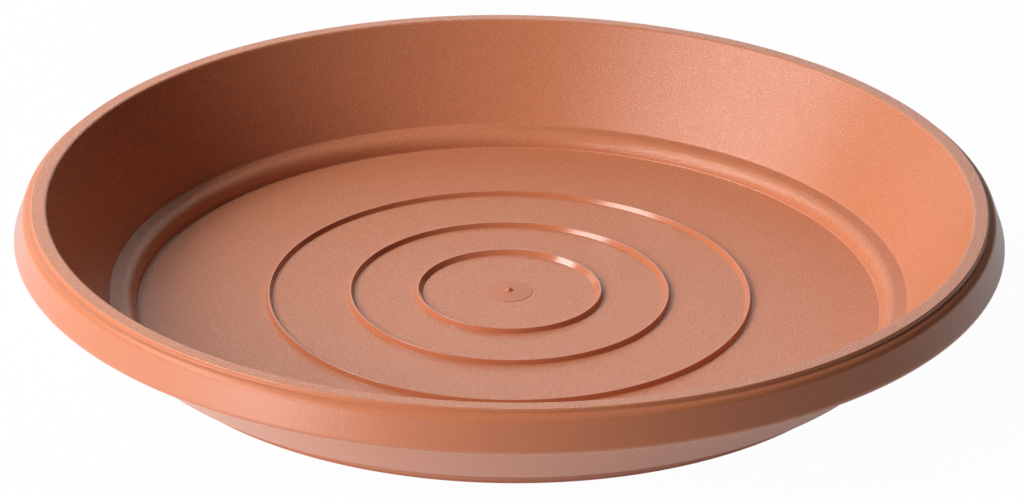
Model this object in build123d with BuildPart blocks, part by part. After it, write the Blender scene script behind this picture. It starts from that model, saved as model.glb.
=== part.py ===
"""Round plant saucer moulded in one shot, as the named regions of its turned section.

Every region is a ring or a disc about Z. Neighbours meet face to face on a seam that is square to the
moulding's skin, so that together they make the whole saucer with one even wall.
"""
import os
from math import sqrt

from build123d import *

# Overall sizes in millimetres, with the table at z = 0
RIM_DIAMETER = 300.0  # across the lower edge of the skirt, the widest place
HEIGHT = 38.4  # table to the top of the lip
FLOOR_DIAMETER = 228.0  # floor, up to the rounded riser of the heel
WALL = 1.8  # side wall, ledge, rim and skirt
FLOOR_THICKNESS = 1.8
FLOOR_CROWN = 1.35  # how far the floor domes up to its middle, so that water runs to the edge

# Foot and heel, the rounded step between the floor and the side wall
FOOT_HEIGHT = 0.9  # how far the foot holds the edge of the floor's underside off the table
FOOT_WIDTH = 2.0
HEEL_RISE = 4.95  # edge of the floor up to the ledge, and so the radius of the riser
LEDGE_WIDTH = 3.1

# Rim: a flat lip, a small step down to a sloped shoulder, and a skirt that hangs open underneath
LIP_WIDTH = 4.4
LIP_LEAN = 0.35  # how far the lip's outer face leans out on its way down
STEP_DROP = 1.15
SHOULDER_WIDTH = 1.98
SHOULDER_FALL = 0.6  # how far the shoulder slopes down to the skirt
SKIRT_FLARE = 3.17  # how far the skirt leans out below the shoulder
SKIRT_DEPTH = 10.25
SKIRT_LAND = 1.2  # upright strip along the skirt's lower edge

# Three rings on the floor that carry the pot, and the mark left where the plastic was let in
INNER_RIB_RADIUS = 28.1
MIDDLE_RIB_RADIUS = 48.8
OUTER_RIB_RADIUS = 73.8
RIB_HEIGHT = 1.38  # above the floor under the crest
RIB_CREST = 0.7  # flat width on top
RIB_OUTER_SLOPE = 0.5  # level run of the flank that faces the wall
RIB_INNER_SLOPE = 0.8  # level run of the flank that faces the centre
INNER_RIB_SLOPE = 1.4  # the same on the smallest ring, which is broader inside
GATE_DIAMETER = 14.4
GATE_EDGE = 0.12  # upright edge of the mark
GATE_CROWN = 0.3  # rise of the mark from its edge to its middle
NUB_DIAMETER = 2.6
NUB_TIP_DIAMETER = 0.5
NUB_HEIGHT = 1.0

# Roundings
FLOOR_ROUND = 0.5
LEDGE_ROUND = 0.8
HEEL_ROUND = 0.5
FOOT_ROUND = min(0.3, 0.4 * FOOT_WIDTH)
LIP_INNER_ROUND = 1.3
LIP_OUTER_ROUND = 0.45
STEP_ROUND = 0.5
SHOULDER_ROUND = 1.4 * SHOULDER_WIDTH
LAND_ROUND = 2.0
EDGE_ROUND = min(0.5, 0.4 * WALL)
SKIRT_EDGE_ROUND = min(0.8, 0.45 * WALL)  # the outer one, which catches the light from the table
RIB_ROUND = min(0.22, 0.4 * RIB_CREST)

# Where the regions part from each other, measured along the skin
FLOOR_SEAM = 1.0  # from the floor's edge inwards
LOW_SEAM = 3.0  # from the ledge up the side wall
HIGH_SEAM = 6.0  # from the lip down the side wall
SKIRT_SEAM = 3.0  # from the shoulder down the skirt

# Heights that follow
floor_edge_top = FOOT_HEIGHT + FLOOR_THICKNESS
floor_mid_top = floor_edge_top + FLOOR_CROWN
ledge_top = floor_edge_top + HEEL_RISE
ledge_under = ledge_top - WALL
step_top = HEIGHT - STEP_DROP
rim_under = step_top - WALL
skirt_bottom = step_top - SKIRT_DEPTH

# Radii that follow
floor_radius = FLOOR_DIAMETER / 2
dome_radius = (floor_radius**2 + FLOOR_CROWN**2) / (2 * FLOOR_CROWN)
floor_seam = floor_radius - FLOOR_SEAM
foot_outer = floor_radius + WALL
foot_inner = foot_outer - FOOT_WIDTH
riser_head = floor_radius + HEEL_RISE
rim_radius = RIM_DIAMETER / 2
shoulder_radius = rim_radius - SKIRT_FLARE
crease_radius = shoulder_radius - SHOULDER_WIDTH
lip_outer = crease_radius - LIP_LEAN
lip_inner = lip_outer - LIP_WIDTH

# Side wall: its inner skin runs straight from the ledge to the lip
wall_foot = Vector(riser_head + LEDGE_WIDTH, ledge_top)
wall_head = Vector(lip_inner, HEIGHT)
up_wall = (wall_head - wall_foot).normalized()
through_wall = Vector(up_wall.Y, -up_wall.X) * WALL
low_seam = wall_foot + up_wall * LOW_SEAM
high_seam = wall_head - up_wall * HIGH_SEAM

# Skirt: its outer skin runs straight from the shoulder to the upright strip at its edge
shoulder = Vector(shoulder_radius, step_top - SHOULDER_FALL)
land_top = Vector(rim_radius, skirt_bottom + SKIRT_LAND)
down_skirt = (land_top - shoulder).normalized()
through_skirt = Vector(down_skirt.Y, -down_skirt.X) * WALL
skirt_seam = shoulder + down_skirt * SKIRT_SEAM


def floor_top(radius):
    """Height of the floor's top, a shallow dome that falls from the middle to the edge."""
    return floor_mid_top - dome_radius + sqrt(dome_radius**2 - radius**2)


def floor_under(radius):
    """Height of the floor's underside, which follows its top."""
    return floor_top(radius) - FLOOR_THICKNESS


def on_line(start, direction, height):
    """Point at a given height on the line through start along direction."""
    return start + direction * ((height - start.Y) / direction.Y)


def corner(sketch, point):
    """Corner of a section that lies at the given radius and height."""
    place = Vector(point)
    return min(sketch.vertices(), key=lambda vertex: (Vector(vertex) - place).length)


def write(solid, label):
    """Label a finished region and write it under the same name."""
    solid.label = label
    export_step(solid, f"parts/{label}.step")


os.makedirs("parts", exist_ok=True)

# Floor, a shallow dome that the foot holds off the table
with BuildPart() as floor_plate:
    with BuildSketch(Plane.XZ):
        with BuildLine():
            RadiusArc((0, floor_under(0)), (floor_seam, floor_under(floor_seam)), dome_radius)
            RadiusArc((0, floor_top(0)), (floor_seam, floor_top(floor_seam)), dome_radius)
            Line((floor_seam, floor_under(floor_seam)), (floor_seam, floor_top(floor_seam)))
            Line((0, floor_under(0)), (0, floor_top(0)))
        make_face()
    revolve(axis=Axis.Z)
write(floor_plate.part, "floor_plate")

# Foot ring, the only place where the saucer touches the table
with BuildPart() as foot_ring:
    with BuildSketch(Plane.XZ) as section:
        with BuildLine():
            Polyline(
                (foot_inner, 0),
                (foot_outer, 0),
                (foot_outer, FOOT_HEIGHT),
                (foot_inner, FOOT_HEIGHT),
                close=True,
            )
        make_face()
        fillet([corner(section, (r, 0)) for r in (foot_inner, foot_outer)], FOOT_ROUND)
    revolve(axis=Axis.Z)
write(foot_ring.part, "foot_ring")

# Heel: a quarter-round riser from the floor, a narrow ledge and the root of the side wall
heel_corner = on_line(wall_foot + through_wall, up_wall, ledge_under)
with BuildPart() as heel_ring:
    with BuildSketch(Plane.XZ) as section:
        with BuildLine():
            Polyline(
                (foot_inner, FOOT_HEIGHT),
                (floor_seam, floor_under(floor_seam)),
                (floor_seam, floor_top(floor_seam)),
                (floor_radius, floor_edge_top),
            )
            RadiusArc((floor_radius, floor_edge_top), (riser_head, ledge_top), HEEL_RISE)
            Polyline(
                (riser_head, ledge_top),
                wall_foot,
                low_seam,
                low_seam + through_wall,
                heel_corner,
                (riser_head, ledge_under),
            )
            RadiusArc((riser_head, ledge_under), (foot_outer, floor_edge_top), WALL - HEEL_RISE)
            Polyline((foot_outer, floor_edge_top), (foot_outer, FOOT_HEIGHT), (foot_inner, FOOT_HEIGHT))
        make_face()
        fillet(corner(section, (floor_radius, floor_edge_top)), FLOOR_ROUND)
        fillet(corner(section, wall_foot), LEDGE_ROUND)
        fillet(corner(section, heel_corner), HEEL_ROUND)
    revolve(axis=Axis.Z)
write(heel_ring.part, "heel_ring")

# Side wall, a straight cone of even thickness
with BuildPart() as side_wall:
    with BuildSketch(Plane.XZ):
        with BuildLine():
            Polyline(low_seam, high_seam, high_seam + through_wall, low_seam + through_wall, close=True)
        make_face()
    revolve(axis=Axis.Z)
write(side_wall.part, "side_wall")

# Rim: the lip, its step, the shoulder, and the roof of the hollow behind the skirt
hollow_inner = on_line(wall_head + through_wall, up_wall, rim_under)
hollow_outer = on_line(shoulder + through_skirt, down_skirt, rim_under)
with BuildPart() as rim_lip:
    with BuildSketch(Plane.XZ) as section:
        with BuildLine():
            Polyline(
                high_seam,
                wall_head,
                (lip_outer, HEIGHT),
                (crease_radius, step_top),
                shoulder,
                skirt_seam,
                skirt_seam + through_skirt,
                hollow_outer,
                hollow_inner,
                high_seam + through_wall,
                close=True,
            )
        make_face()
        fillet(corner(section, wall_head), LIP_INNER_ROUND)
        fillet(corner(section, (lip_outer, HEIGHT)), LIP_OUTER_ROUND)
        fillet(corner(section, (crease_radius, step_top)), STEP_ROUND)
        fillet(corner(section, shoulder), SHOULDER_ROUND)
        fillet([corner(section, hollow_outer), corner(section, hollow_inner)], EDGE_ROUND)
    revolve(axis=Axis.Z)
write(rim_lip.part, "rim_lip")

# Skirt that hangs from the rim, with a finger's room between it and the side wall
skirt_toe = on_line(shoulder + through_skirt, down_skirt, skirt_bottom)
with BuildPart() as rim_skirt:
    with BuildSketch(Plane.XZ) as section:
        with BuildLine():
            Polyline(
                skirt_seam,
                land_top,
                (rim_radius, skirt_bottom),
                skirt_toe,
                skirt_seam + through_skirt,
                close=True,
            )
        make_face()
        fillet(corner(section, land_top), LAND_ROUND)
        fillet(corner(section, (rim_radius, skirt_bottom)), SKIRT_EDGE_ROUND)
        fillet(corner(section, skirt_toe), EDGE_ROUND)
    revolve(axis=Axis.Z)
write(rim_skirt.part, "rim_skirt")

# Ribs on the floor: low rings with sloped flanks and narrow rounded crests, all equally high
for label, radius, inner_slope in (
    ("inner_rib", INNER_RIB_RADIUS, INNER_RIB_SLOPE),
    ("middle_rib", MIDDLE_RIB_RADIUS, RIB_INNER_SLOPE),
    ("outer_rib", OUTER_RIB_RADIUS, RIB_INNER_SLOPE),
):
    crest_inner = radius - RIB_CREST / 2
    crest_outer = radius + RIB_CREST / 2
    root_inner = crest_inner - inner_slope
    root_outer = crest_outer + RIB_OUTER_SLOPE
    rib_top = floor_top(radius) + RIB_HEIGHT
    with BuildPart() as rib:
        with BuildSketch(Plane.XZ) as section:
            with BuildLine():
                RadiusArc((root_inner, floor_top(root_inner)), (root_outer, floor_top(root_outer)), dome_radius)
                Polyline(
                    (root_inner, floor_top(root_inner)),
                    (crest_inner, rib_top),
                    (crest_outer, rib_top),
                    (root_outer, floor_top(root_outer)),
                )
            make_face()
            fillet([corner(section, (r, rib_top)) for r in (crest_inner, crest_outer)], RIB_ROUND)
        revolve(axis=Axis.Z)
    write(rib.part, label)

# Gate mark: a low smooth lens in the middle of the floor with the torn-off nub of the runner on it
gate_radius = GATE_DIAMETER / 2
nub_radius = NUB_DIAMETER / 2
gate_root = floor_top(gate_radius)
lens_edge = gate_root + GATE_EDGE
lens_radius = (gate_radius**2 + GATE_CROWN**2) / (2 * GATE_CROWN)
nub_root = lens_edge + GATE_CROWN - lens_radius + sqrt(lens_radius**2 - nub_radius**2)
nub_top = nub_root + NUB_HEIGHT
with BuildPart() as gate_mark:
    with BuildSketch(Plane.XZ):
        with BuildLine():
            RadiusArc((nub_radius, nub_root), (gate_radius, lens_edge), lens_radius)
            RadiusArc((0, floor_top(0)), (gate_radius, gate_root), dome_radius)
            Line((gate_radius, lens_edge), (gate_radius, gate_root))
            Polyline(
                (0, floor_top(0)),
                (0, nub_top),
                (NUB_TIP_DIAMETER / 2, nub_top),
                (nub_radius, nub_root),
            )
        make_face()
    revolve(axis=Axis.Z)
write(gate_mark.part, "gate_mark")
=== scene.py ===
"""Looks of a moulded plant saucer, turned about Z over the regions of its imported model.

Every piece is a section outline swept once round the axis. The outlines follow the solids, with their
roundings and seams, and each stretch of an outline says which surface of the mould made it.
"""
import logging
from dataclasses import dataclass, field
from enum import Enum
from math import asin, ceil, cos, pi, radians, sin, sqrt, tan
from typing import ClassVar

import bpy
from mathutils import Matrix, Vector


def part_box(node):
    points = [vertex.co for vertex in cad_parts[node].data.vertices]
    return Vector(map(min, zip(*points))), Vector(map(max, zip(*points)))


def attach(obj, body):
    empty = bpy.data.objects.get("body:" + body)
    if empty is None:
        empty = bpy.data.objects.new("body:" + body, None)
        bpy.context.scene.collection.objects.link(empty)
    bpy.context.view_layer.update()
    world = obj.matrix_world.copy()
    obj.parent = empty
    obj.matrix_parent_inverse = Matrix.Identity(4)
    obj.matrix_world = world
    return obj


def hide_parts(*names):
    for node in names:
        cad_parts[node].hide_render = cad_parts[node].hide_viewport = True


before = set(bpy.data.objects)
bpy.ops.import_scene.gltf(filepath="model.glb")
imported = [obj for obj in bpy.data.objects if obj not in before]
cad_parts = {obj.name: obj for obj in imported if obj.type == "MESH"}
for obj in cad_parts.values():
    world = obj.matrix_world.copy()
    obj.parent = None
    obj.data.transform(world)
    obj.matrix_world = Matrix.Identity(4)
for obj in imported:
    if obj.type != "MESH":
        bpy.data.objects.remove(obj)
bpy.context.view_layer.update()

LOG = logging.getLogger("saucer")
MM = 0.001  # metres in a millimetre
TURNS = 360  # flats round the axis: too fine to see on the rim
ARC_STEP = radians(9)  # longest turn between two points of a rounding
ARC_CHORD = 10.0  # longest straight between two points of a rounding, in millimetres
TOUCHING = 0.002  # points nearer than this are one point, in millimetres
BODY = "root"


class Finish(Enum):
    """Surface that the mould leaves on a stretch of skin."""

    GRAINED = "grained"
    SATIN = "satin"
    MATT = "matt"
    SMOOTH = "smooth"
    POLISHED = "polished"


# Sections and turning


@dataclass(frozen=True)
class Corner:
    """Corner of a section, in millimetres, and the finish of the skin that leaves it.

    Attributes:
        radius: Distance from the axis.
        height: Height above the table.
        round: Radius of the rounding on the corner, or 0 for a sharp one.
        finish: Surface between this corner and the next.
    """

    radius: float
    height: float
    round: float = 0.0
    finish: Finish = Finish.MATT

    @property
    def place(self) -> Vector:
        """The corner as a point of the section plane."""
        return Vector((self.radius, self.height))


@dataclass(frozen=True)
class Stretch:
    """Run of an outline with no break: its points, the direction of travel at each, and its finish."""

    points: list[Vector]
    directions: list[Vector]
    finish: Finish


def turned(direction: Vector, angle: float) -> Vector:
    """Turn a direction of the section plane to the left by an angle."""
    return Vector((
        direction.x * cos(angle) - direction.y * sin(angle),
        direction.x * sin(angle) + direction.y * cos(angle),
    ))


def rounding(before: Vector, corner: Corner, after: Vector) -> Stretch:
    """Work out the arc that replaces a corner.

    Args:
        before: Corner before it on the outline.
        corner: The corner to round.
        after: Corner after it on the outline.

    Returns:
        The arc, or a single point with both directions where the corner is sharp.
    """
    arrive = (corner.place - before).normalized()
    leave = (after - corner.place).normalized()
    turn = arrive.angle_signed(leave) * -1
    if corner.round == 0:
        return Stretch([corner.place, corner.place], [arrive, leave], corner.finish)
    side = 1 if turn > 0 else -1
    start = corner.place - arrive * corner.round * tan(abs(turn) / 2)
    centre = start + turned(arrive, side * pi / 2) * corner.round
    count = max(3, ceil(abs(turn) / ARC_STEP), ceil(abs(turn) * corner.round / ARC_CHORD))
    angles = [turn * step / count for step in range(count + 1)]
    spoke = start - centre
    return Stretch(
        [centre + turned(spoke, angle) for angle in angles],
        [turned(arrive, angle) for angle in angles],
        corner.finish,
    )


def outline(corners: list[Corner]) -> list[Stretch]:
    """Turn a closed ring of corners, listed anticlockwise, into its straight and round stretches."""
    arcs = []
    for index, corner in enumerate(corners):
        before = corners[index - 1].place
        after = corners[(index + 1) % len(corners)].place
        arcs.append(rounding(before, corner, after))
    stretches = []
    for index, arc in enumerate(arcs):
        following = arcs[(index + 1) % len(arcs)]
        ends = [arc.points[-1], following.points[0]]
        heading = (ends[1] - ends[0]).normalized()
        if corners[index].round:
            stretches.append(arc)
        stretches.append(Stretch(ends, [heading, heading], arc.finish))
    return stretches


@dataclass
class Turning:
    """A ring or disc made by turning a closed section about Z.

    Attributes:
        name: Name of the piece.
        node: Name of the solid that it stands for.
        corners: Section, anticlockwise. Points on the axis make a disc.
        vertices: Points of the mesh, in metres.
        faces: Vertices of each face.
        normals: True normal of the skin at each corner of each face.
        finishes: Finish of each face.
    """

    name: str
    node: str
    corners: list[Corner]
    vertices: list[tuple[float, float, float]] = field(default_factory=list, init=False)
    faces: list[list[int]] = field(default_factory=list, init=False)
    normals: list[tuple[float, float, float]] = field(default_factory=list, init=False)
    finishes: list[Finish] = field(default_factory=list, init=False)

    @property
    def used(self) -> list[Finish]:
        """Finishes of the piece, in the order of its material slots."""
        return sorted(set(self.finishes), key=lambda finish: finish.value)

    def build(self) -> bpy.types.Object:
        """Make the mesh, give it the true normals of the turned skin and put it in the scene.

        Returns:
            The new object, whose faces point at material slots that are still to be filled.
        """
        rows: dict[tuple[float, float], list[int]] = {}
        for stretch in outline(self.corners):
            for step in range(len(stretch.points) - 1):
                self.add_band(rows, stretch, step)
        used = self.used
        mesh = bpy.data.meshes.new(self.name)
        mesh.from_pydata(self.vertices, [], self.faces)
        mesh.polygons.foreach_set("use_smooth", [True] * len(self.faces))
        mesh.polygons.foreach_set("material_index", [used.index(finish) for finish in self.finishes])
        mesh.normals_split_custom_set(self.normals)
        piece = bpy.data.objects.new(self.name, mesh)
        bpy.context.scene.collection.objects.link(piece)
        return piece

    def add_band(self, rows: dict[tuple[float, float], list[int]], stretch: Stretch, step: int) -> None:
        """Add the band of faces between two neighbouring points of a stretch.

        Args:
            rows: Rows of vertices made so far, by their place in the section.
            stretch: Run of the outline that holds the points.
            step: Index of the first of the two points.
        """
        lower, upper = stretch.points[step], stretch.points[step + 1]
        if max(lower.x, upper.x) < TOUCHING or (upper - lower).length < TOUCHING:
            return
        first, second = self.row(rows, lower), self.row(rows, upper)
        slopes = [Vector((way.y, -way.x)) for way in stretch.directions[step:step + 2]]
        for turn in range(TURNS):
            onward = (turn + 1) % TURNS
            ring = [(first, turn, 0), (first, onward, 0), (second, onward, 1), (second, turn, 1)]
            face = []
            normals = []
            for row, place, end in ring:
                vertex = row[place % len(row)]
                if vertex in face:
                    continue
                angle = 2 * pi * (place if len(row) > 1 else turn + 0.5) / TURNS
                face.append(vertex)
                normals.append((slopes[end].x * cos(angle), slopes[end].x * sin(angle), slopes[end].y))
            self.faces.append(face)
            self.normals += normals
            self.finishes.append(stretch.finish)

    def row(self, rows: dict[tuple[float, float], list[int]], point: Vector) -> list[int]:
        """Vertices of the circle that a point of the section turns through, or its spot on the axis."""
        count = TURNS if point.x > TOUCHING else 1
        key = (round(point.x, 3) if count > 1 else 0.0, round(point.y, 3))
        if key not in rows:
            start = len(self.vertices)
            for turn in range(count):
                angle = 2 * pi * turn / TURNS
                self.vertices.append((point.x * cos(angle) * MM, point.x * sin(angle) * MM, point.y * MM))
            rows[key] = list(range(start, start + count))
        return rows[key]


# Finishes


def linear(code: str) -> tuple[float, float, float, float]:
    """Turn an sRGB hex colour such as "#C4704C" into linear red, green, blue and alpha."""
    parts = [int(code[start:start + 2], 16) / 255 for start in (1, 3, 5)]
    return (*(part / 12.92 if part <= 0.04045 else ((part + 0.055) / 1.055) ** 2.4 for part in parts), 1.0)


def add_node(tree: bpy.types.NodeTree, kind: str, settings: dict, inputs: dict) -> bpy.types.Node:
    """Add a node to a tree.

    Args:
        tree: Node tree of a material or a world.
        kind: Blender's name for the kind of node.
        settings: Properties of the node and their values.
        inputs: Inputs by name or number, each with a value or with the socket that feeds it.

    Returns:
        The new node.
    """
    node = tree.nodes.new(kind)
    for name, value in settings.items():
        setattr(node, name, value)
    for name, value in inputs.items():
        if isinstance(value, bpy.types.NodeSocket):
            tree.links.new(value, node.inputs[name])
        else:
            node.inputs[name].default_value = value
    return node


@dataclass(frozen=True)
class MouldedPolypropylene:
    """Terracotta polypropylene as one surface of the mould leaves it.

    Attributes:
        name: Name of the material.
        pigment: Colour of most of the plastic, sRGB.
        pigment_deep: Colour where the pigment lies a little thicker, sRGB.
        painted_glint: Share of painted glint on the tops of the grains: a paler colour that stands in for
            light caught by the pits' edges.
        roughness: Roughness of the skin.
        roughness_spread: How far the grain moves the roughness up and down.
        grain: Distance between the pits of the grain, in millimetres.
        grain_depth: Depth of those pits, in millimetres.
        draw: Width of the fine marks that run up and down the skin, in millimetres, or 0 for none.
        draw_depth: Depth of those marks, in millimetres.
        gloss: Strength of the mirrored light, where 0.5 is that of bare plastic.
        haze: Strength of the pale haze that a blasted skin shows at a flat angle.
    """

    name: str
    pigment: str
    pigment_deep: str
    painted_glint: float
    roughness: float
    roughness_spread: float
    grain: float
    grain_depth: float
    draw: float = 0.0
    draw_depth: float = 0.0
    gloss: float = 0.5
    haze: float = 0.0

    IOR: ClassVar[float] = 1.49
    MOTTLE: ClassVar[float] = 7.0  # millimetres between thicker and thinner pigment
    PIT: ClassVar[float] = 0.3  # reach of a pit's floor from its middle, in grains
    RIDGE: ClassVar[float] = 0.7  # distance from a pit's middle to the top of its ridge, in grains
    HAZE_SPREAD: ClassVar[float] = 0.4  # how far the haze reaches from the flattest angle
    DRAW_STRETCH: ClassVar[float] = 0.04  # how much slower draw marks change upwards than round the saucer

    def make(self) -> bpy.types.Material:
        """Build the material's nodes."""
        material = bpy.data.materials.new(self.name)
        material.use_nodes = True
        tree = material.node_tree
        tree.nodes.clear()
        place = add_node(tree, "ShaderNodeTexCoord", {}, {}).outputs["Object"]
        grain = add_node(tree, "ShaderNodeTexVoronoi", {}, {
            "Vector": place, "Scale": 1 / (self.grain * MM),
        }).outputs["Distance"]
        mottle = add_node(tree, "ShaderNodeTexNoise", {}, {
            "Vector": place, "Scale": 1 / (self.MOTTLE * MM), "Detail": 3.0, "Roughness": 0.55,
        }).outputs["Fac"]
        colour = add_node(tree, "ShaderNodeMix", {"data_type": "RGBA"}, {
            "Factor": mottle, "A": linear(self.pigment), "B": linear(self.pigment_deep),
        }).outputs["Result"]
        # Painted glint: the tops of the grains are mixed toward a paler colour that stands in for light caught
        # by the pits' edges.
        painted_glint_share = add_node(tree, "ShaderNodeMapRange", {}, {
            "Value": grain, "From Min": self.PIT, "From Max": self.RIDGE, "To Max": self.painted_glint,
        }).outputs["Result"]
        colour = add_node(tree, "ShaderNodeMix", {"data_type": "RGBA"}, {
            "Factor": painted_glint_share, "A": colour, "B": linear(PIGMENT_PAINTED_GLINT),
        }).outputs["Result"]
        roughness = add_node(tree, "ShaderNodeMapRange", {}, {
            "Value": grain,
            "To Min": self.roughness - self.roughness_spread,
            "To Max": self.roughness + self.roughness_spread,
        }).outputs["Result"]
        normal = add_node(tree, "ShaderNodeBump", {}, {
            "Strength": 1.0, "Distance": self.grain_depth * MM, "Height": grain,
        }).outputs["Normal"]
        if self.draw:
            along = add_node(tree, "ShaderNodeMapping", {}, {
                "Vector": place, "Scale": (1.0, 1.0, self.DRAW_STRETCH),
            }).outputs["Vector"]
            marks = add_node(tree, "ShaderNodeTexNoise", {}, {
                "Vector": along, "Scale": 1 / (self.draw * MM), "Detail": 1.0,
            }).outputs["Fac"]
            normal = add_node(tree, "ShaderNodeBump", {}, {
                "Strength": 1.0, "Distance": self.draw_depth * MM, "Height": marks, "Normal": normal,
            }).outputs["Normal"]
        shader = add_node(tree, "ShaderNodeBsdfPrincipled", {}, {
            "Base Color": colour, "Roughness": roughness, "IOR": self.IOR, "Normal": normal,
            "Specular IOR Level": self.gloss, "Sheen Weight": self.haze, "Sheen Roughness": self.HAZE_SPREAD,
        }).outputs["BSDF"]
        add_node(tree, "ShaderNodeOutputMaterial", {}, {"Surface": shader})
        return material


# One batch of plastic, whose finishes the eye tells apart by their gloss. Sparks leave fine pits that break
# the light into a speckle; the bumps draw part of it, and the rest is a painted glint, a paler colour on the
# tops of the grains.
# The tool-cut bead and gate mark are dull, the stoned rings throw sharp streaks, and the blasted skirt has a
# soft sheen. The wall under the skirt is matt, and its paler pigment is painted light that stands in for light
# thrown up from the table. The real pits are about 0.2 mm apart, less than a pixel, so the grain is drawn at
# twice that.
PIGMENT = "#CD7B56"
PIGMENT_DEEP = "#C97651"
# Colour of the painted glint on the tops of the grains.
PIGMENT_PAINTED_GLINT = "#DE9A74"
# Paler pigment of the matt wall under the skirt: painted light from the table below, not a second colour of
# plastic.
PIGMENT_MATT_PAINTED_LIGHT = "#DC906D"
PIGMENT_MATT_DEEP_PAINTED_LIGHT = "#D88B68"
PLASTICS = {
    Finish.GRAINED: MouldedPolypropylene(
        "spark_eroded_polypropylene", PIGMENT, PIGMENT_DEEP, painted_glint=0.5,
        roughness=0.22, roughness_spread=0.05, grain=0.4, grain_depth=0.085, gloss=0.45,
    ),
    Finish.SATIN: MouldedPolypropylene(
        "blasted_satin_polypropylene", PIGMENT, PIGMENT_DEEP, painted_glint=0.04,
        roughness=0.4, roughness_spread=0.05, grain=0.6, grain_depth=0.006, draw=0.9, draw_depth=0.04,
        gloss=0.75, haze=0.9,
    ),
    Finish.MATT: MouldedPolypropylene(
        "blasted_matt_polypropylene_painted_light", PIGMENT_MATT_PAINTED_LIGHT, PIGMENT_MATT_DEEP_PAINTED_LIGHT, painted_glint=0.04,
        roughness=0.45, roughness_spread=0.05, grain=0.6, grain_depth=0.006, gloss=1.0, haze=1.0,
    ),
    Finish.SMOOTH: MouldedPolypropylene(
        "tool_cut_polypropylene", PIGMENT, PIGMENT_DEEP, painted_glint=0.2,
        roughness=0.32, roughness_spread=0.05, grain=0.45, grain_depth=0.03, gloss=0.25,
    ),
    Finish.POLISHED: MouldedPolypropylene(
        "stone_polished_polypropylene", PIGMENT, PIGMENT_DEEP, painted_glint=0.0,
        roughness=0.17, roughness_spread=0.05, grain=0.5, grain_depth=0.012, gloss=0.6,
    ),
}


# Sub-assemblies of the saucer


@dataclass
class SubAssembly:
    """Named pieces of the saucer that are built and dressed together."""

    def turnings(self) -> list[Turning]:
        """Sections of the pieces."""
        raise NotImplementedError

    def build(self) -> list[tuple[Turning, bpy.types.Object]]:
        """Make every piece's mesh."""
        return [(turning, turning.build()) for turning in self.turnings()]

    def dress(self, made: list[tuple[Turning, bpy.types.Object]], plastics: dict) -> None:
        """Give the pieces their plastics and tie them to the solids that they stand for.

        Args:
            made: Sections and the objects made from them.
            plastics: Materials by finish.
        """
        for turning, piece in made:
            for finish in turning.used:
                piece.data.materials.append(plastics[finish])
            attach(piece, BODY)
            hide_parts(turning.node)
            low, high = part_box(turning.node)
            LOG.info(
                "%s stands for %s: %d faces, %.2f mm across against %.2f mm", turning.name, turning.node,
                len(piece.data.polygons), piece.dimensions.x / MM, (high - low).x / MM,
            )


@dataclass
class Base(SubAssembly):
    """Floor with a shallow dome, the foot that it stands on, and the mark of the moulding gate."""

    floor_radius: float = 114.0
    thickness: float = 1.8
    crown: float = 1.35
    foot_height: float = 0.9
    foot_width: float = 2.0
    foot_round: float = 0.3
    seam: float = 1.0
    gate_radius: float = 7.2
    gate_edge: float = 0.12
    gate_edge_round: float = 0.1
    gate_crown: float = 0.3
    nub_radius: float = 1.3
    nub_tip_radius: float = 0.25
    nub_height: float = 1.0
    nub_root_round: float = 0.4
    nub_tip_round: float = 0.12

    @property
    def seam_radius(self) -> float:
        """Radius where the floor plate ends and the heel begins."""
        return self.floor_radius - self.seam

    @property
    def edge_top(self) -> float:
        """Height of the floor's top at its edge."""
        return self.foot_height + self.thickness

    @property
    def foot_outer(self) -> float:
        """Outer radius of the foot."""
        return self.floor_radius + self.thickness

    @property
    def foot_inner(self) -> float:
        """Inner radius of the foot."""
        return self.foot_outer - self.foot_width

    @property
    def dome(self) -> float:
        """Radius of the ball that the floor is a cap of."""
        return (self.floor_radius**2 + self.crown**2) / (2 * self.crown)

    @property
    def bend(self) -> float:
        """Radius where the level line through the floor's middle meets the slope of its edge."""
        return self.dome * tan(asin(self.seam_radius / self.dome) / 2)

    def top(self, radius: float) -> float:
        """Height of the floor's top."""
        return self.edge_top + self.crown - self.dome + sqrt(self.dome**2 - radius**2)

    def under(self, radius: float) -> float:
        """Height of the floor's underside."""
        return self.top(radius) - self.thickness

    def turnings(self) -> list[Turning]:
        """Sections of the floor, the foot and the gate mark."""
        floor = [
            Corner(0, self.under(0)),
            Corner(self.bend, self.under(0), self.dome),
            Corner(self.seam_radius, self.under(self.seam_radius)),
            Corner(self.seam_radius, self.top(self.seam_radius), finish=Finish.GRAINED),
            Corner(self.bend, self.top(0), self.dome, Finish.GRAINED),
            Corner(0, self.top(0)),
        ]
        foot = [
            Corner(self.foot_inner, 0, self.foot_round, Finish.SATIN),
            Corner(self.foot_outer, 0, self.foot_round, Finish.SATIN),
            Corner(self.foot_outer, self.foot_height),
            Corner(self.foot_inner, self.foot_height),
        ]
        return [
            Turning("floor", "floor_plate", floor),
            Turning("foot", "foot_ring", foot),
            Turning("gate", "gate_mark", self.gate()),
        ]

    def gate(self) -> list[Corner]:
        """Section of the gate mark: a low lens with the torn nub of the runner in its middle."""
        root = self.top(self.gate_radius)
        edge = root + self.gate_edge
        ball = (self.gate_radius**2 + self.gate_crown**2) / (2 * self.gate_crown)
        sag = ball - sqrt(ball**2 - self.nub_radius**2)
        nub_root = edge + self.gate_crown - sag
        smooth = Finish.SMOOTH
        return [
            Corner(0, self.top(0), finish=smooth),
            Corner(self.gate_radius, root, finish=smooth),
            Corner(self.gate_radius, edge, self.gate_edge_round, smooth),
            Corner(self.nub_radius, nub_root, self.nub_root_round, smooth),
            Corner(self.nub_tip_radius, nub_root + self.nub_height, self.nub_tip_round, smooth),
            Corner(0, nub_root + self.nub_height, finish=smooth),
        ]


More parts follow.
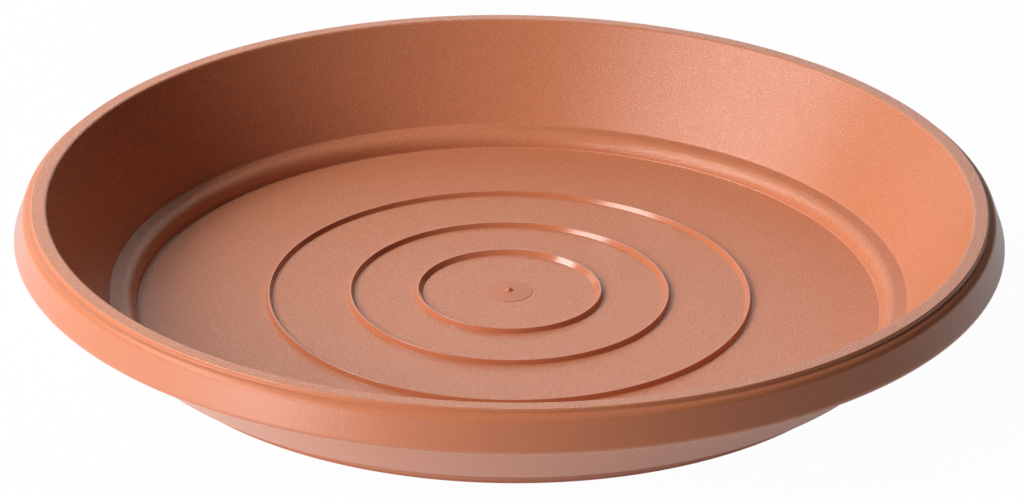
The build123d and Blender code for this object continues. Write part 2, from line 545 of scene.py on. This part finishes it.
@dataclass
class PotRings(SubAssembly):
    """Three low rings on the floor that carry the pot."""

    base: Base
    height: float = 1.38
    crest: float = 0.7
    outer_slope: float = 0.5
    inner_slope: float = 0.8
    smallest_inner_slope: float = 1.4
    crest_round: float = 0.22
    smallest: float = 28.1
    middle: float = 48.8
    largest: float = 73.8

    def turnings(self) -> list[Turning]:
        """Sections of the three rings."""
        return [
            Turning("smallest_ring", "inner_rib", self.ring(self.smallest, self.smallest_inner_slope)),
            Turning("middle_ring", "middle_rib", self.ring(self.middle, self.inner_slope)),
            Turning("largest_ring", "outer_rib", self.ring(self.largest, self.inner_slope)),
        ]

    def ring(self, radius: float, inner_slope: float) -> list[Corner]:
        """Section of one ring.

        Args:
            radius: Radius of the middle of its crest.
            inner_slope: Level run of the flank that faces the centre.

        Returns:
            The corners, from the root of the inner flank.
        """
        crest_inner = radius - self.crest / 2
        crest_outer = radius + self.crest / 2
        root_inner = crest_inner - inner_slope
        root_outer = crest_outer + self.outer_slope
        top = self.base.top(radius) + self.height
        polished = Finish.POLISHED
        return [
            Corner(root_inner, self.base.top(root_inner), finish=polished),
            Corner(root_outer, self.base.top(root_outer), finish=polished),
            Corner(crest_outer, top, self.crest_round, polished),
            Corner(crest_inner, top, self.crest_round, polished),
        ]


@dataclass
class Rim(SubAssembly):
    """Flat lip, the small step outside it, the shoulder, and the skirt that hangs open underneath."""

    radius: float = 150.0
    height: float = 38.4
    wall: float = 1.8
    lip_width: float = 4.4
    lip_lean: float = 0.35
    step_drop: float = 1.15
    shoulder_width: float = 1.98
    shoulder_fall: float = 0.6
    flare: float = 3.17
    depth: float = 10.25
    land: float = 1.2
    seam: float = 3.0
    lip_inner_round: float = 1.3
    lip_outer_round: float = 0.45
    step_round: float = 0.5
    shoulder_round: float = 2.772
    land_round: float = 2.0
    edge_round: float = 0.8
    toe_round: float = 0.5

    @property
    def step_top(self) -> float:
        """Height of the crease at the foot of the step, where the shoulder begins."""
        return self.height - self.step_drop

    @property
    def bottom(self) -> float:
        """Height of the skirt's lower edge."""
        return self.step_top - self.depth

    @property
    def shoulder(self) -> Vector:
        """Corner between the shoulder and the skirt."""
        return Vector((self.radius - self.flare, self.step_top - self.shoulder_fall))

    @property
    def crease(self) -> Vector:
        """Corner between the lip's outer face and the shoulder."""
        return Vector((self.shoulder.x - self.shoulder_width, self.step_top))

    @property
    def lip_outer(self) -> Vector:
        """Outer corner of the lip."""
        return self.crease + Vector((-self.lip_lean, self.step_drop))

    @property
    def lip_inner(self) -> Vector:
        """Inner corner of the lip, where the side wall ends."""
        return self.lip_outer - Vector((self.lip_width, 0))

    @property
    def land_top(self) -> Vector:
        """Corner above the upright strip along the skirt's lower edge."""
        return Vector((self.radius, self.bottom + self.land))

    @property
    def down(self) -> Vector:
        """Direction down the skirt's outer skin."""
        return (self.land_top - self.shoulder).normalized()

    @property
    def through(self) -> Vector:
        """Step from the skirt's outer skin to its inner skin."""
        return Vector((self.down.y, -self.down.x)) * self.wall

    @property
    def skirt_seam(self) -> Vector:
        """Place on the outer skin where the lip's region ends and the skirt's begins."""
        return self.shoulder + self.down * self.seam

    def skirt_inner(self, height: float) -> Vector:
        """Point of the skirt's inner skin at a height."""
        start = self.shoulder + self.through
        return start + self.down * ((height - start.y) / self.down.y)

    def turnings(self) -> list[Turning]:
        """Section of the skirt. The lip needs the side wall, so the wall's class gives its section."""
        toe = self.skirt_inner(self.bottom)
        inner = self.skirt_seam + self.through
        skirt = [
            Corner(*toe, self.toe_round),
            Corner(self.radius, self.bottom, self.edge_round, Finish.SATIN),
            Corner(*self.land_top, self.land_round, Finish.SATIN),
            Corner(*self.skirt_seam),
            Corner(*inner),
        ]
        return [Turning("skirt", "rim_skirt", skirt)]


@dataclass
class Side(SubAssembly):
    """Heel with its rounded riser and ledge, the leaning side wall, and the lip that ends it.

    The riser's rounding stops short of the floor's by riser_gap, as a share of the floor's rounding.
    """

    base: Base
    rim: Rim
    rise: float = 4.95
    ledge_width: float = 3.1
    wall: float = 1.8
    low_seam: float = 3.0
    high_seam: float = 6.0
    floor_round: float = 0.5
    riser_gap: float = 1.02
    ledge_round: float = 0.8
    heel_round: float = 0.5
    hollow_round: float = 0.5

    @property
    def ledge_top(self) -> float:
        """Height of the ledge."""
        return self.base.edge_top + self.rise

    @property
    def foot(self) -> Vector:
        """Inner skin's lower end, on the ledge."""
        return Vector((self.base.floor_radius + self.rise + self.ledge_width, self.ledge_top))

    @property
    def up(self) -> Vector:
        """Direction up the wall."""
        return (self.rim.lip_inner - self.foot).normalized()

    @property
    def through(self) -> Vector:
        """Step from the inner skin to the outer skin."""
        return Vector((self.up.y, -self.up.x)) * self.wall

    @property
    def low(self) -> Vector:
        """Place on the inner skin where the heel ends."""
        return self.foot + self.up * self.low_seam

    @property
    def high(self) -> Vector:
        """Place on the inner skin where the lip's region begins."""
        return self.rim.lip_inner - self.up * self.high_seam

    def outer(self, height: float) -> Vector:
        """Point of the outer skin at a height."""
        start = self.foot + self.through
        return start + self.up * ((height - start.y) / self.up.y)

    def turnings(self) -> list[Turning]:
        """Sections of the heel, the wall and the lip."""
        grained = Finish.GRAINED
        wall = [
            Corner(*self.low),
            Corner(*(self.low + self.through)),
            Corner(*(self.high + self.through)),
            Corner(*self.high, finish=grained),
        ]
        return [
            Turning("heel", "heel_ring", self.heel()),
            Turning("side", "side_wall", wall),
            Turning("lip", "rim_lip", self.lip()),
        ]

    def heel(self) -> list[Corner]:
        """Section of the heel, from the foot outwards and back along its top."""
        base, grained = self.base, Finish.GRAINED
        under = self.ledge_top - self.wall
        riser_round = self.rise - self.riser_gap * self.floor_round
        return [
            Corner(base.foot_inner, base.foot_height),
            Corner(base.foot_outer, base.foot_height),
            Corner(base.foot_outer, under, self.rise - self.wall),
            Corner(*self.outer(under), self.heel_round),
            Corner(*(self.low + self.through)),
            Corner(*self.low, finish=grained),
            Corner(*self.foot, self.ledge_round, grained),
            Corner(base.floor_radius, self.ledge_top, riser_round, grained),
            Corner(base.floor_radius, base.edge_top, self.floor_round, grained),
            Corner(base.seam_radius, base.top(base.seam_radius)),
            Corner(base.seam_radius, base.under(base.seam_radius)),
        ]

    def lip(self) -> list[Corner]:
        """Section of the lip, its step and shoulder, and the roof of the hollow behind the skirt."""
        rim, grained = self.rim, Finish.GRAINED
        roof = rim.step_top - self.wall
        return [
            Corner(*self.high),
            Corner(*(self.high + self.through)),
            Corner(*self.outer(roof), self.hollow_round),
            Corner(*rim.skirt_inner(roof), self.hollow_round),
            Corner(*(rim.skirt_seam + rim.through)),
            Corner(*rim.skirt_seam, finish=Finish.SATIN),
            Corner(*rim.shoulder, rim.shoulder_round, Finish.SMOOTH),
            Corner(*rim.crease, rim.step_round, Finish.SMOOTH),
            Corner(*rim.lip_outer, rim.lip_outer_round, grained),
            Corner(*rim.lip_inner, rim.lip_inner_round, grained),
        ]


# Studio


@dataclass(frozen=True)
class Softbox:
    """Lamp with a cloth front that faces the saucer.

    Attributes:
        name: Name of the lamp.
        azimuth: Direction from the saucer, in degrees from +X towards +Y.
        elevation: Height of that direction above the table, in degrees.
        distance: Distance from the saucer, in metres.
        width: Width of its front, in metres.
        height: Height of its front, in metres.
        brightness: How bright its front looks, where 1 is white.
        lean: How far its top leans to the left, as the saucer sees it, in degrees.
    """

    name: str
    azimuth: float
    elevation: float
    distance: float
    width: float
    height: float
    brightness: float
    lean: float = 0.0

    def build(self) -> bpy.types.Object:
        """Put the lamp in the scene."""
        light = bpy.data.lights.new(self.name, "AREA")
        light.shape = "RECTANGLE"
        light.size = self.width
        light.size_y = self.height
        light.energy = self.brightness * self.width * self.height * pi
        lamp = bpy.data.objects.new(self.name, light)
        level = self.distance * cos(radians(self.elevation))
        lamp.location = (
            level * cos(radians(self.azimuth)),
            level * sin(radians(self.azimuth)),
            self.distance * sin(radians(self.elevation)),
        )
        upright = lamp.location.to_track_quat("Z", "Y").to_matrix().to_4x4()
        lamp.rotation_euler = (upright @ Matrix.Rotation(radians(self.lean), 4, "Z")).to_euler()
        bpy.context.scene.collection.objects.link(lamp)
        return lamp


@dataclass
class Studio:
    """White table, dim room, softboxes, and a camera where the photograph was taken from."""

    table_size: float = 9.0
    table_colour: str = "#E8E8E8"
    table_glow: float = 0.97
    table_light: float = 0.1
    room_brightness: float = 0.03
    picture_width: float = 1024.0
    focal_pixels: float = 3790.9
    sensor: float = 36.0
    camera_distance: float = 1.15939
    camera_elevation: float = 25.0455
    camera_roll: float = 0.6413
    aim: tuple[float, float, float] = (0.000803, 0.0, 0.018648)
    softboxes: tuple[Softbox, ...] = (
        Softbox(
            "key", azimuth=212, elevation=24.5, distance=1.6,
            width=0.6, height=1.0, brightness=10.2, lean=63,
        ),
        Softbox(
            "upper", azimuth=176, elevation=44, distance=1.6,
            width=0.5, height=0.8, brightness=12.2, lean=54,
        ),
        Softbox(
            "back", azimuth=104, elevation=27, distance=1.6,
            width=2.2, height=1.16, brightness=1.38,
        ),
    )

    def build(self) -> None:
        """Make the table, the room light, the lamps and the camera."""
        self.build_table()
        self.build_room()
        for softbox in self.softboxes:
            softbox.build()
            LOG.info("%s lights the saucer", softbox.name)
        self.build_camera()

    def build_table(self) -> None:
        """Make the white table.

        It looks white to the camera and in reflections, keeps the shadow, and glows a little with a light of
        its own, painted light that lightens the outside of the saucer from below.
        """
        half = self.table_size / 2
        mesh = bpy.data.meshes.new("table")
        corners = [(-half, -half, 0), (half, -half, 0), (half, half, 0), (-half, half, 0)]
        mesh.from_pydata(corners, [], [(0, 1, 2, 3)])
        table = bpy.data.objects.new("table", mesh)
        bpy.context.scene.collection.objects.link(table)
        material = bpy.data.materials.new("white_paper")
        material.use_nodes = True
        tree = material.node_tree
        tree.nodes.clear()
        ray = add_node(tree, "ShaderNodeLightPath", {}, {}).outputs
        seen = add_node(tree, "ShaderNodeMath", {"operation": "MAXIMUM"}, {
            0: ray["Is Camera Ray"], 1: ray["Is Glossy Ray"],
        }).outputs[0]
        seen = add_node(tree, "ShaderNodeMath", {"operation": "MAXIMUM"}, {
            0: seen, 1: ray["Is Transmission Ray"],
        }).outputs[0]
        share = add_node(tree, "ShaderNodeMath", {"operation": "MULTIPLY"}, {
            0: seen, 1: self.table_glow,
        }).outputs[0]
        paper = add_node(tree, "ShaderNodeBsdfDiffuse", {}, {"Color": linear(self.table_colour)}).outputs[0]
        # The paper glows a little for every ray, though it is no lamp: painted light that lightens the saucer
        # from below.
        own_glow = add_node(tree, "ShaderNodeEmission", {}, {"Strength": self.table_light}).outputs[0]
        paper = add_node(tree, "ShaderNodeAddShader", {}, {0: paper, 1: own_glow}).outputs[0]
        white = add_node(tree, "ShaderNodeEmission", {}, {
            "Color": linear("#FFFFFF"), "Strength": 1.0,
        }).outputs[0]
        mixed = add_node(tree, "ShaderNodeMixShader", {}, {0: share, 1: paper, 2: white}).outputs[0]
        add_node(tree, "ShaderNodeOutputMaterial", {}, {"Surface": mixed})
        mesh.materials.append(material)

    def build_room(self) -> None:
        """Light the scene dimly from all round."""
        world = bpy.data.worlds.new("room")
        world.use_nodes = True
        tree = world.node_tree
        tree.nodes.clear()
        glow = add_node(tree, "ShaderNodeBackground", {}, {
            "Color": linear("#FFFFFF"), "Strength": self.room_brightness,
        }).outputs[0]
        add_node(tree, "ShaderNodeOutputWorld", {}, {"Surface": glow})
        bpy.context.scene.world = world

    def build_camera(self) -> None:
        """Place the camera at the photograph's angle."""
        tilt = radians(self.camera_elevation)
        back = Vector((0, -cos(tilt), sin(tilt)))
        up = Vector((0, sin(tilt), cos(tilt)))
        turn = Matrix((up.cross(back), up, back)).transposed().to_4x4()
        camera = bpy.data.objects.new("camera", bpy.data.cameras.new("camera"))
        camera.data.sensor_width = self.sensor
        camera.data.lens = self.focal_pixels / self.picture_width * self.sensor
        place = Matrix.Translation(Vector(self.aim) + back * self.camera_distance)
        camera.matrix_world = place @ turn @ Matrix.Rotation(radians(self.camera_roll), 4, "Z")
        bpy.context.scene.collection.objects.link(camera)
        bpy.context.scene.camera = camera


def main() -> None:
    """Build the saucer piece by piece, then the studio round it."""
    logging.basicConfig(level=logging.INFO, format="%(message)s")
    bpy.context.scene.view_settings.view_transform = "Standard"
    plastics = {finish: plastic.make() for finish, plastic in PLASTICS.items()}
    base = Base()
    rim = Rim()
    for group in (base, PotRings(base), Side(base, rim), rim):
        group.dress(group.build(), plastics)
    Studio().build()


if __name__ == "__main__":
    main()
